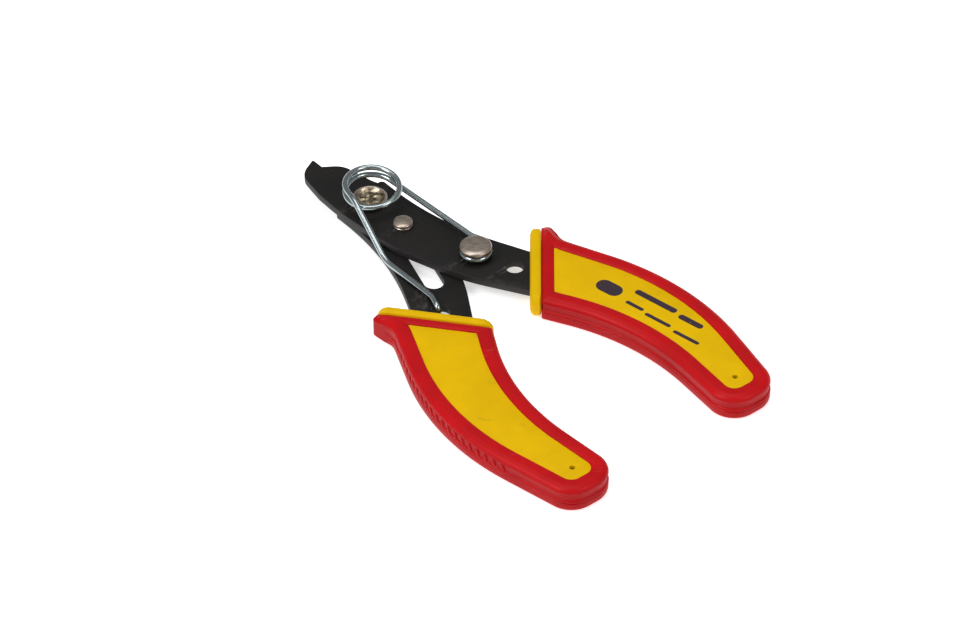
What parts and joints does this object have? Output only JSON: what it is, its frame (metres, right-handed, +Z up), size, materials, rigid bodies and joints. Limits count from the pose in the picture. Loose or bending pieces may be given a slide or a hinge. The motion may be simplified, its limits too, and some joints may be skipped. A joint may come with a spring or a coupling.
{
  "type": "wire stripper",
  "caption": "Crossed-blade wire stripper and cutter with a coil return spring over the pivot, notched jaws and two-colour moulded grips, held open at rest.",
  "frame": {"origin": "under the middle of the open tool, on the surface that it lies on", "axes": "+Y towards the jaws, +X towards the upper arm's handle, +Z up out of the surface"},
  "size_m": [0.0822, 0.1498, 0.0127],
  "materials": {
    "blade_steel": "black oxide over stamped tool steel, satin",
    "plated_rivet": "nickel-plated steel, satin, slightly tarnished",
    "washer_steel": "zinc-plated steel",
    "spring_wire": "bright zinc-plated drawn wire",
    "grip_yellow": "moulded, semi-gloss",
    "grip_red": "soft over-moulding, semi-gloss"
  },
  "bodies": {
    "upper_arm": {"upper_blade": "blade_steel", "pivot_rivet": "plated_rivet", "pivot_washer": "washer_steel", "stop_pin": "plated_rivet", "stop_pin_washer": "washer_steel", "spring_post": "plated_rivet", "return_spring": "spring_wire", "upper_grip_core": "grip_yellow", "upper_grip_cover": "grip_red"},
    "lower_arm": {"lower_blade": "blade_steel", "lower_grip_core": "grip_yellow", "lower_grip_cover": "grip_red"}
  },
  "joints": [
    {"name": "jaw_pivot", "type": "hinge", "parent": "upper_arm", "child": "lower_arm", "pos_m": [0, 0.05095, 0.0037], "axis": [0, 0, 1], "range_deg": [0, 10.5], "stiffness_Nm_per_rad": 0.3, "springref_deg": -34.38, "deforming": ["return_spring"]}
  ]
}
